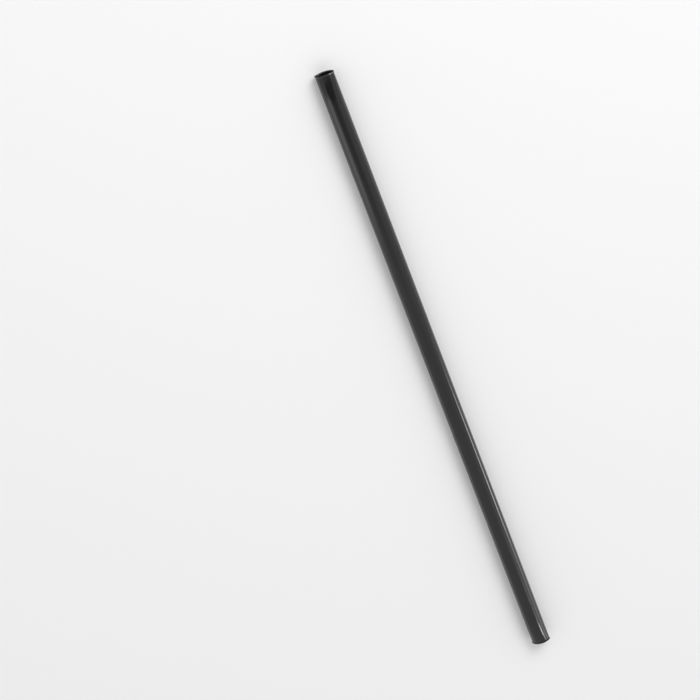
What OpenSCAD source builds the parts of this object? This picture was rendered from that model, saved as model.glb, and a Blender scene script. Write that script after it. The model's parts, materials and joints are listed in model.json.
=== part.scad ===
// Plain straight drinking straw: a thin-walled extruded tube, cut square at both ends.
// It lies on its side along X. The knife leaves each mouth a little flatter and wider
// than the tube, eye-shaped, with a soft corner at each side.

/* [Tube] */
// Length from one cut end to the other
straw_l = 210; // [120:1:300]
// Outside diameter of the round tube
straw_od = 6; // [5:0.1:12]
// Thickness of the extruded wall
wall_t = 0.18; // [0.12:0.01:0.3]

/* [Cut ends] */
// Length over which each end eases from round to its flattened mouth
ease_l = 9; // [4:0.5:20]
// How much a mouth loses in height, and gains in width, against the round tube
mouth_flat = 0.45; // [0:0.05:0.8]
// How far a mouth is pinched from a plain oval towards an eye shape
mouth_pinch = 0.2; // [0:0.05:0.3]

/* [Hidden] */
black_plastic = "#161617";
// Points round a mouth: a multiple of four, so that one stands straight below the axis,
// one above it and one at each side
RING_POINTS = 32;
// Rings from the round tube to the cut edge
EASE_STEPS = 4;
// How far the facets of a mouth stand outside the round tube where they meet it
FACET_STEP = 0.005;
// How far the bore's cutter stands out past each end of the round run
BORE_CLEAR = 1;
straw_r = straw_od / 2;
ring_r = (straw_r + FACET_STEP) / cos(180 / RING_POINTS);
round_l = straw_l - 2 * ease_l;

// Point at angle t of a section flattened by the share k, moved inwards by inset
function section_point(t, k, inset) =
    let (half_w = ring_r + k * mouth_flat / 2,
         half_h = ring_r - k * mouth_flat / 2,
         pinch = k * mouth_pinch,
         c = cos(t),
         s = sin(t),
         rise = sign(s) * pow(abs(s), 1 + pinch),
         normal = [half_h * (1 + pinch) * c, half_w * sign(s) * pow(abs(s), 1 - pinch)])
    [half_w * c, half_h * rise] - inset * normal / norm(normal);

// One ring of points in space, at the share u of the way to the cut edge
function section_ring(u, inset) =
    [for (i = [0:RING_POINTS - 1])
        let (p = section_point(360 * i / RING_POINTS, u * u, inset))
        [round_l / 2 + u * ease_l, p[0], p[1]]];

// Two triangles between the edges a to b and c to d
function quad(a, b, c, d) = [[a, c, b], [b, c, d]];

// Band of faces between two rings that start at points p and q
function band(p, q) =
    [for (i = [0:RING_POINTS - 1])
        let (j = (i + 1) % RING_POINTS)
        each quad(p + i, p + j, q + i, q + j)];

// The eased end at +X: the outer skin, the bore, the joining ring and the cut edge
module mouth() {
    steps = [0:EASE_STEPS];
    outer = [for (n = steps) each section_ring(n / EASE_STEPS, 0)];
    inner = [for (n = steps) each section_ring(n / EASE_STEPS, wall_t)];
    bore = len(outer);
    cut = EASE_STEPS * RING_POINTS;
    polyhedron(
        points = concat(outer, inner),
        faces = [
            for (n = [0:EASE_STEPS - 1])
                each band(n * RING_POINTS, (n + 1) * RING_POINTS),
            for (n = [0:EASE_STEPS - 1])
                each band(bore + (n + 1) * RING_POINTS, bore + n * RING_POINTS),
            each band(bore, 0),
            each band(cut, bore + cut)],
        convexity = 6);
}

// The round run between the two eased ends
module round_run() {
    rotate([0, 90, 0])
        difference() {
            cylinder(h = round_l, d = straw_od, center = true, $fn = 96);
            cylinder(h = round_l + 2 * BORE_CLEAR, d = straw_od - 2 * wall_t, center = true, $fn = 96);
        }
}

module straw() {
    color(black_plastic)
        translate([0, 0, straw_r]) {
            round_run();
            for (turn = [0, 180])
                rotate([0, 0, turn])
                    mouth();
        }
}

straw();
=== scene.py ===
import json
import math

import bmesh
import bpy
from mathutils import Matrix, Quaternion, Vector, noise


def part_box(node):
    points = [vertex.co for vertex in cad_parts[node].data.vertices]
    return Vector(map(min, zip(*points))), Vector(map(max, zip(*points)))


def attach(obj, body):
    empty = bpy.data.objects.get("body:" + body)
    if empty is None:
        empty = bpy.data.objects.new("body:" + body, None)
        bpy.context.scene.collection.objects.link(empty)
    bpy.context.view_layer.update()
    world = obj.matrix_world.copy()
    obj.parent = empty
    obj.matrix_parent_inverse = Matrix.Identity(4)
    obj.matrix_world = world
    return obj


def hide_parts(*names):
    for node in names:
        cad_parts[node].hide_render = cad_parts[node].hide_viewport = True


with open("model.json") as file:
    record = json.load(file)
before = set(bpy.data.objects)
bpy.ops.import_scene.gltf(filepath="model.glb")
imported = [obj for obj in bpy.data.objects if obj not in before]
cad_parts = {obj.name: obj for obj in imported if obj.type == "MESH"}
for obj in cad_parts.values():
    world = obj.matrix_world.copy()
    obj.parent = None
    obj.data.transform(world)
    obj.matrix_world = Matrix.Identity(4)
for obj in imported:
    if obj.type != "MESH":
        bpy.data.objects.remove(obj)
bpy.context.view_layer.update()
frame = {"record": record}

MM = 0.001

# The tube's own sizes, as the part states them
low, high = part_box("straw")
mounts = {mount["name"]: mount["dims"] for mount in frame["record"]["mounts"]}
STRAW_LENGTH = high.x - low.x
STRAW_RADIUS = mounts["outer_wall"]["r_mm"] * MM
BORE_RADIUS = mounts["bore"]["r_mm"] * MM
ROUND_LENGTH = mounts["outer_wall"]["length_mm"] * MM
EASE_LENGTH = (STRAW_LENGTH - ROUND_LENGTH) / 2
WALL = STRAW_RADIUS - BORE_RADIUS
AXIS = Vector((0, 0, STRAW_RADIUS))

# The mouths: how far each widens to either side and drops above and below, before its lips
# turn out, how far it is pinched towards an eye shape, and how far its long side is turned
# about the axis
MOUTH_WIDENING = 0.03 * MM
MOUTH_DROP = 0.86 * MM
MOUTH_PINCH = 0.2
MOUTH_TURN = math.radians(-16)
# A mouth's form comes in slowly: it grows with this power of the way to the cut
MOUTH_EASING = 2


def add_object(name, data):
    """A new object at the origin, linked to the scene."""
    thing = bpy.data.objects.new(name, data)
    bpy.context.scene.collection.objects.link(thing)
    return thing


def add_mesh(name, bm, material):
    """Turns a finished bmesh into an object of one material."""
    mesh = bpy.data.meshes.new(name)
    bm.to_mesh(mesh)
    bm.free()
    mesh.materials.append(material)
    return add_object(name, mesh)


# Camera

# Focal length and sensor width, in the millimetres that a camera takes
LENS = 113.3
SENSOR_WIDTH = 36
CAMERA_AIM = Vector((18.19 * MM, 23.55 * MM, STRAW_RADIUS))
CAMERA_DISTANCE = 696.2 * MM
CAMERA_BEARING = math.radians(-5.15)
CAMERA_ELEVATION = math.radians(67.866)
CAMERA_ROLL = math.radians(163.801)


def make_camera():
    """A long lens that looks down the straw from beyond its near mouth."""
    level = math.cos(CAMERA_ELEVATION)
    away = Vector((level * math.cos(CAMERA_BEARING),
                   level * math.sin(CAMERA_BEARING),
                   math.sin(CAMERA_ELEVATION)))
    data = bpy.data.cameras.new("camera")
    data.lens = LENS
    data.sensor_width = SENSOR_WIDTH
    camera = add_object("camera", data)
    camera.location = CAMERA_AIM + away * CAMERA_DISTANCE
    camera.rotation_mode = "QUATERNION"
    roll = Quaternion((0, 0, 1), CAMERA_ROLL)
    camera.rotation_quaternion = (-away).to_track_quat("-Z", "Y") @ roll
    bpy.context.scene.camera = camera


# Straw mesh

SIDES = 128
RING_SPACING = 1.5 * MM
MOUTH_RINGS = 40
# Above 1, this draws a mouth's rings closer together towards its cut
RING_CROWDING = 1.3
# The knife turns the very edge of the wall outwards
LIP_TURN_OUT = 0.2 * MM
LIP_LENGTH = 0.55 * MM
# Edges sharper than this, which only the cut has, are rounded
SHARP_EDGE = math.radians(50)
LIP_ROUNDING = 0.07 * MM
LIP_SEGMENTS = 3
# An extruded tube is never quite round or straight: how far its skin strays, over what
# length along it, and how finely round it
WAVER = 0.012 * MM
WAVER_LENGTH = 35 * MM
WAVER_ROUND = 1.3


def ring_places():
    """Places along the tube for its rings, closer together where a mouth eases."""
    from_cut = [EASE_LENGTH * (i / MOUTH_RINGS) ** RING_CROWDING for i in range(MOUTH_RINGS)]
    run_rings = round(ROUND_LENGTH / RING_SPACING)
    run = [ROUND_LENGTH * (i / run_rings - 0.5) for i in range(run_rings + 1)]
    foot = [-STRAW_LENGTH / 2 + distance for distance in from_cut]
    return foot + run + [-place for place in reversed(foot)]


def pressed(point):
    """Where a point of the plain round tube lies on the real one."""
    share = max(0, (abs(point.x) - ROUND_LENGTH / 2) / EASE_LENGTH) ** MOUTH_EASING
    turn = Matrix.Rotation(MOUTH_TURN, 3, "X")
    side, rise = (turn.inverted() @ (point - AXIS)).yz / STRAW_RADIUS
    to_cut = STRAW_LENGTH / 2 - abs(point.x)
    turned_out = LIP_TURN_OUT * max(0, 1 - to_cut / LIP_LENGTH)
    spot = Vector((point.x / WAVER_LENGTH, WAVER_ROUND * side, WAVER_ROUND * rise))
    grown = turned_out + WAVER * noise.noise(spot)
    half_width = STRAW_RADIUS + share * MOUTH_WIDENING + grown
    half_height = STRAW_RADIUS - share * MOUTH_DROP + grown
    pinched_rise = math.copysign(abs(rise) ** (1 + share * MOUTH_PINCH), rise)
    return AXIS + turn @ Vector((point.x, half_width * side, half_height * pinched_rise))


def settle_order(bm):
    """Sorts edges and faces by the numbers of their points, because extruding lists them in
    an order that changes from run to run."""
    bm.verts.index_update()
    count = len(bm.verts)

    def number(part):
        numbers = [vertex.index for vertex in part.verts]
        return min(numbers) * count + max(numbers)

    bm.edges.sort(key=number)
    bm.faces.sort(key=number)


def straw_skin():
    """The outer skin: a ring drawn along X, then pressed to the real tube's form."""
    places = ring_places()
    bm = bmesh.new()
    across = Matrix.Rotation(math.radians(90), 4, "Y")
    start = Matrix.Translation(AXIS + Vector((places[0], 0, 0))) @ across
    bmesh.ops.create_circle(bm, cap_ends=False, segments=SIDES, radius=STRAW_RADIUS, matrix=start)
    ring = bm.edges[:]
    for here, there in zip(places, places[1:]):
        drawn = bmesh.ops.extrude_edge_only(bm, edges=ring)["geom"]
        points = {part for part in drawn if isinstance(part, bmesh.types.BMVert)}
        ring = [part for part in drawn
                if isinstance(part, bmesh.types.BMEdge) and points.issuperset(part.verts)]
        bmesh.ops.translate(bm, verts=list(points), vec=(there - here, 0, 0))
    settle_order(bm)
    for vertex in bm.verts:
        vertex.co = pressed(vertex.co)
    bmesh.ops.recalc_face_normals(bm, faces=bm.faces[:])
    # An open tube's normals may all come out facing its axis, and the wall grows inwards
    # from faces that look outwards
    bm.faces.ensure_lookup_table()
    face = bm.faces[0]
    if face.normal.yz.dot((face.calc_center_median() - AXIS).yz) < 0:
        bmesh.ops.reverse_faces(bm, faces=bm.faces[:])
    for face in bm.faces:
        face.smooth = True
    return bm


def make_straw(material):
    """The skin with its wall grown inwards and the lips of both cuts rounded."""
    straw = add_mesh("drinking_straw", straw_skin(), material)
    wall = straw.modifiers.new("wall", "SOLIDIFY")
    wall.thickness = WALL
    wall.offset = -1
    wall.use_even_offset = True
    lips = straw.modifiers.new("lips", "BEVEL")
    lips.width = LIP_ROUNDING
    lips.segments = LIP_SEGMENTS
    lips.limit_method = "ANGLE"
    lips.angle_limit = SHARP_EDGE
    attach(straw, "root")
    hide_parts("straw")
    return straw


# Materials

PLASTIC_IOR = 1.49
PLASTIC_DARK = "#111112"
PLASTIC_PALE = "#18181a"
CLOUD_SIZE = 18 * MM
CLOUD_DETAIL = 3
# The plastic's roughness, from the glossiest of its lines to the dullest
SMOOTHEST = 0.13
ROUGHEST = 0.2
# The real lines are a few hundredths of a millimetre wide: these are coarser, to show
DIE_LINE_WIDTH = 0.5 * MM
DIE_LINE_LENGTH = 60 * MM
DIE_LINE_DEPTH = 0.004 * MM
DIE_LINE_DETAIL = 2
# Nearly all of a noise pattern's values lie between these
NOISE_LOW = 0.3
NOISE_HIGH = 0.7
CUT_EDGE = 0.4 * MM
# The cuts' paler colour is partly stressed plastic and partly a painted highlight where the lips
# catch the light
CUT_STRESS_AND_HIGHLIGHT_COLOUR = "#202022"
CUT_ROUGHNESS = 0.24
FLOOR_COLOUR = "#f6f6f6"
FLOOR_ROUGHNESS = 0.9
FLOOR_IOR = 1.3


def linear(hex_colour):
    """A linear colour from an sRGB hex value such as #1a1a1b, by the standard's own curve."""
    parts = [int(hex_colour[i:i + 2], 16) / 255 for i in (1, 3, 5)]
    return [p / 12.92 if p <= 0.04045 else ((p + 0.055) / 1.055) ** 2.4 for p in parts] + [1]


def add_node(tree, kind, settings=None, **inputs):
    """Adds a node, gives it its settings, and sets or links its inputs. An input is named,
    with _ for a space, or numbered, as i0, where several share a name."""
    node = tree.nodes.new(kind)
    for name, value in (settings or {}).items():
        setattr(node, name, value)
    for name, value in inputs.items():
        numbered = name[0] == "i" and name[1:].isdigit()
        socket = node.inputs[int(name[1:]) if numbered else name.replace("_", " ")]
        if isinstance(value, bpy.types.NodeSocket):
            tree.links.new(value, socket)
        else:
            socket.default_value = value
    return node


def new_material(name):
    """A material with no nodes yet, and its node tree."""
    material = bpy.data.materials.new(name)
    material.use_nodes = True
    material.node_tree.nodes.clear()
    return material, material.node_tree


def polypropylene():
    """Extruded black polypropylene: glossy, with faint lines drawn along it by the die and
    a duller, paler edge at both cuts, partly where the knife stressed it and partly a
    painted highlight where the lips catch the light."""
    material, tree = new_material("extruded_black_polypropylene")
    place = add_node(tree, "ShaderNodeTexCoord").outputs["Object"]

    # Lines drawn along the tube
    line_scale = (1 / DIE_LINE_LENGTH, 1 / DIE_LINE_WIDTH, 1 / DIE_LINE_WIDTH)
    drawn = add_node(tree, "ShaderNodeMapping", Vector=place, Scale=line_scale).outputs["Vector"]
    lines = add_node(tree, "ShaderNodeTexNoise", Vector=drawn, Scale=1,
                     Detail=DIE_LINE_DETAIL).outputs["Fac"]
    gloss = add_node(tree, "ShaderNodeMapRange", Value=lines, From_Min=NOISE_LOW,
                     From_Max=NOISE_HIGH, To_Min=SMOOTHEST, To_Max=ROUGHEST).outputs["Result"]
    bump = add_node(tree, "ShaderNodeBump", Strength=1, Distance=DIE_LINE_DEPTH, Height=lines)

    # Pigment that is a little uneven
    cloud = add_node(tree, "ShaderNodeTexNoise", Vector=place, Scale=1 / CLOUD_SIZE,
                     Detail=CLOUD_DETAIL)
    body = add_node(tree, "ShaderNodeMix", {"data_type": "RGBA"}, i0=cloud.outputs["Fac"],
                    i6=linear(PLASTIC_DARK), i7=linear(PLASTIC_PALE)).outputs[2]

    # Paler, duller plastic at both cuts: partly stressed by the knife, partly a painted highlight
    # where the lips catch the light
    along = add_node(tree, "ShaderNodeSeparateXYZ", Vector=place).outputs["X"]
    along = add_node(tree, "ShaderNodeMath", {"operation": "ABSOLUTE"}, i0=along).outputs["Value"]
    cut = add_node(tree, "ShaderNodeMapRange", {"interpolation_type": "SMOOTHSTEP"}, Value=along,
                   From_Min=STRAW_LENGTH / 2 - CUT_EDGE,
                   From_Max=STRAW_LENGTH / 2 - CUT_EDGE / 2).outputs["Result"]
    colour = add_node(tree, "ShaderNodeMix", {"data_type": "RGBA"}, i0=cut,
                      i6=body, i7=linear(CUT_STRESS_AND_HIGHLIGHT_COLOUR)).outputs[2]
    rough = add_node(tree, "ShaderNodeMix", {"data_type": "FLOAT"}, i0=cut,
                     i2=gloss, i3=CUT_ROUGHNESS).outputs[0]

    shader = add_node(tree, "ShaderNodeBsdfPrincipled", Base_Color=colour, Roughness=rough,
                      Normal=bump.outputs["Normal"], IOR=PLASTIC_IOR)
    add_node(tree, "ShaderNodeOutputMaterial", Surface=shader.outputs["BSDF"])
    return material


def floor_paint():
    """Matt white paint: it spreads light evenly and mirrors next to nothing."""
    material, tree = new_material("matt_white_floor")
    shader = add_node(tree, "ShaderNodeBsdfPrincipled", Base_Color=linear(FLOOR_COLOUR),
                      Roughness=FLOOR_ROUGHNESS, IOR=FLOOR_IOR)
    add_node(tree, "ShaderNodeOutputMaterial", Surface=shader.outputs["BSDF"])
    return material


# Studio

# Half the floor's width, in metres
FLOOR_SIZE = 6
# Lights: the place and size of each in metres, and how bright its face is
KEY = ((0.75, -0.55, 0.75), (0.6, 0.6), 6)
# Cards that light the straw alone
CARDS = {
    "left_card": ((-0.065, 0.45, 0.22), (0.1, 0.4), 1.25),
    "right_strip": ((-0.25, -0.45, 0.05), (0.08, 0.09), 8.5),
    "right_strip_end": ((-0.4, -0.45, 0.05), (0.22, 0.09), 3.2),
    "far_lip_card": ((0.19, -0.46, 0.37), (0.2, 0.2), 3.5),
    "near_lip_card": ((-1.8, -1.78, 1.52), (0.35, 0.35), 28),
}
# A plain lit ceiling all round, with a dim slit over the straw that runs across it: the
# slit's direction, how far a direction's sideways part counts, and the angles of its soft edge
CEILING_STRENGTH = 0.78
CEILING_COLOUR = "#ffffff"
SLIT_STRENGTH = 0.1
SLIT = Vector((-0.13, 0.015, 0.99)).normalized()
SLIT_SQUEEZE = (1, 0.2, 1)
SLIT_INNER = math.radians(7.5)
SLIT_OUTER = math.radians(13)


def make_floor(material):
    """One flat square under the straw, which isn't part of it."""
    bm = bmesh.new()
    bmesh.ops.create_grid(bm, x_segments=1, y_segments=1, size=FLOOR_SIZE)
    add_mesh("floor", bm, material)


def softbox(name, place, size, brightness):
    """A rectangular light that faces the straw; brightness is that of its own surface."""
    data = bpy.data.lights.new(name, "AREA")
    data.shape = "RECTANGLE"
    data.size, data.size_y = size
    data.energy = brightness * math.pi * size[0] * size[1]
    light = add_object(name, data)
    light.location = place
    light.rotation_mode = "QUATERNION"
    light.rotation_quaternion = (AXIS - Vector(place)).to_track_quat("-Z", "Y")
    light.visible_camera = False
    return light


def make_ceiling():
    """The soft light from all round, with its slit."""
    world = bpy.data.worlds.new("studio")
    bpy.context.scene.world = world
    world.use_nodes = True
    tree = world.node_tree
    towards = add_node(tree, "ShaderNodeTexCoord").outputs["Object"]
    towards = add_node(tree, "ShaderNodeVectorMath", {"operation": "MULTIPLY"},
                       i0=towards, i1=SLIT_SQUEEZE).outputs["Vector"]
    towards = add_node(tree, "ShaderNodeVectorMath", {"operation": "NORMALIZE"},
                       i0=towards).outputs["Vector"]
    near_slit = add_node(tree, "ShaderNodeVectorMath", {"operation": "DOT_PRODUCT"},
                         i0=towards, i1=SLIT).outputs["Value"]
    strength = add_node(tree, "ShaderNodeMapRange", {"interpolation_type": "SMOOTHSTEP"},
                        Value=near_slit,
                        From_Min=math.cos(SLIT_OUTER), From_Max=math.cos(SLIT_INNER),
                        To_Min=CEILING_STRENGTH, To_Max=SLIT_STRENGTH).outputs["Result"]
    background = tree.nodes["Background"]
    background.inputs["Color"].default_value = linear(CEILING_COLOUR)
    tree.links.new(strength, background.inputs["Strength"])


make_camera()
straw = make_straw(polypropylene())
make_floor(floor_paint())
make_ceiling()
softbox("key", *KEY)
straw_alone = bpy.data.collections.new("straw_alone")
straw_alone.objects.link(straw)
for name, card in CARDS.items():
    softbox(name, *card).light_linking.receiver_collection = straw_alone
bpy.context.scene.view_settings.view_transform = "Standard"
